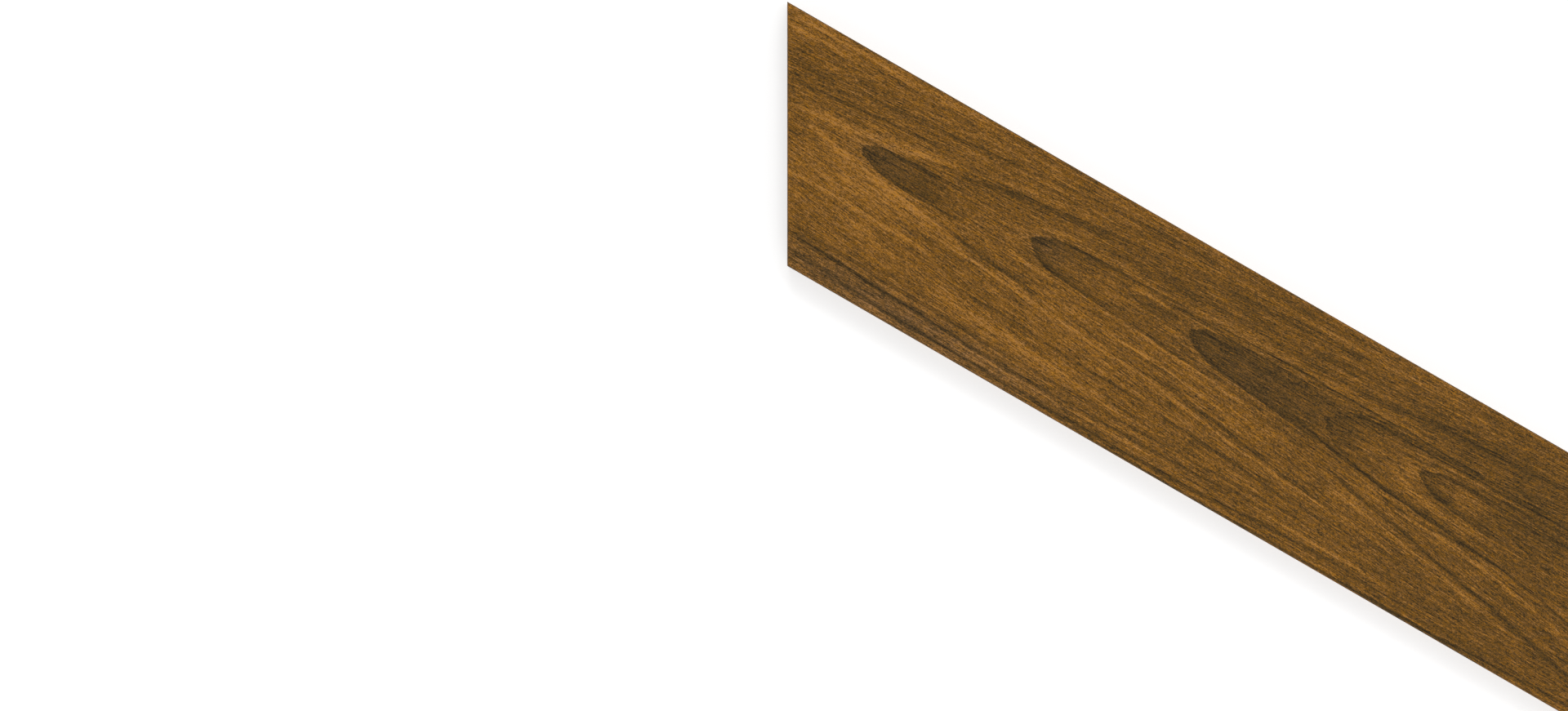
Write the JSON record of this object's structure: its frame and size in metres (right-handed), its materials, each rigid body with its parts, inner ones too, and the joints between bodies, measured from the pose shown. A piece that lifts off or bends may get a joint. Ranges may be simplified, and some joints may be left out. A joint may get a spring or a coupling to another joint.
{
  "type": "chevron parquet plank",
  "caption": "Solid hardwood floor plank cut as a parallelogram with mitred ends, bevelled face edges and a tongue groove all round, for laying a chevron floor.",
  "frame": {"origin": "middle of the flat back, which is the centre of the bounding box's underside", "axes": "+X along the grain, from the mitre at the chevron's ridge to the far mitre; +Z out of the face; +Y square across the grain, towards the long edge that ends in the sharp corner beside the ridge"},
  "size_m": [0.6866, 0.15, 0.02],
  "materials": {
    "oiled_hardwood": "satin"
  },
  "bodies": {
    "root": {"plank": "oiled_hardwood"}
  },
  "joints": []
}
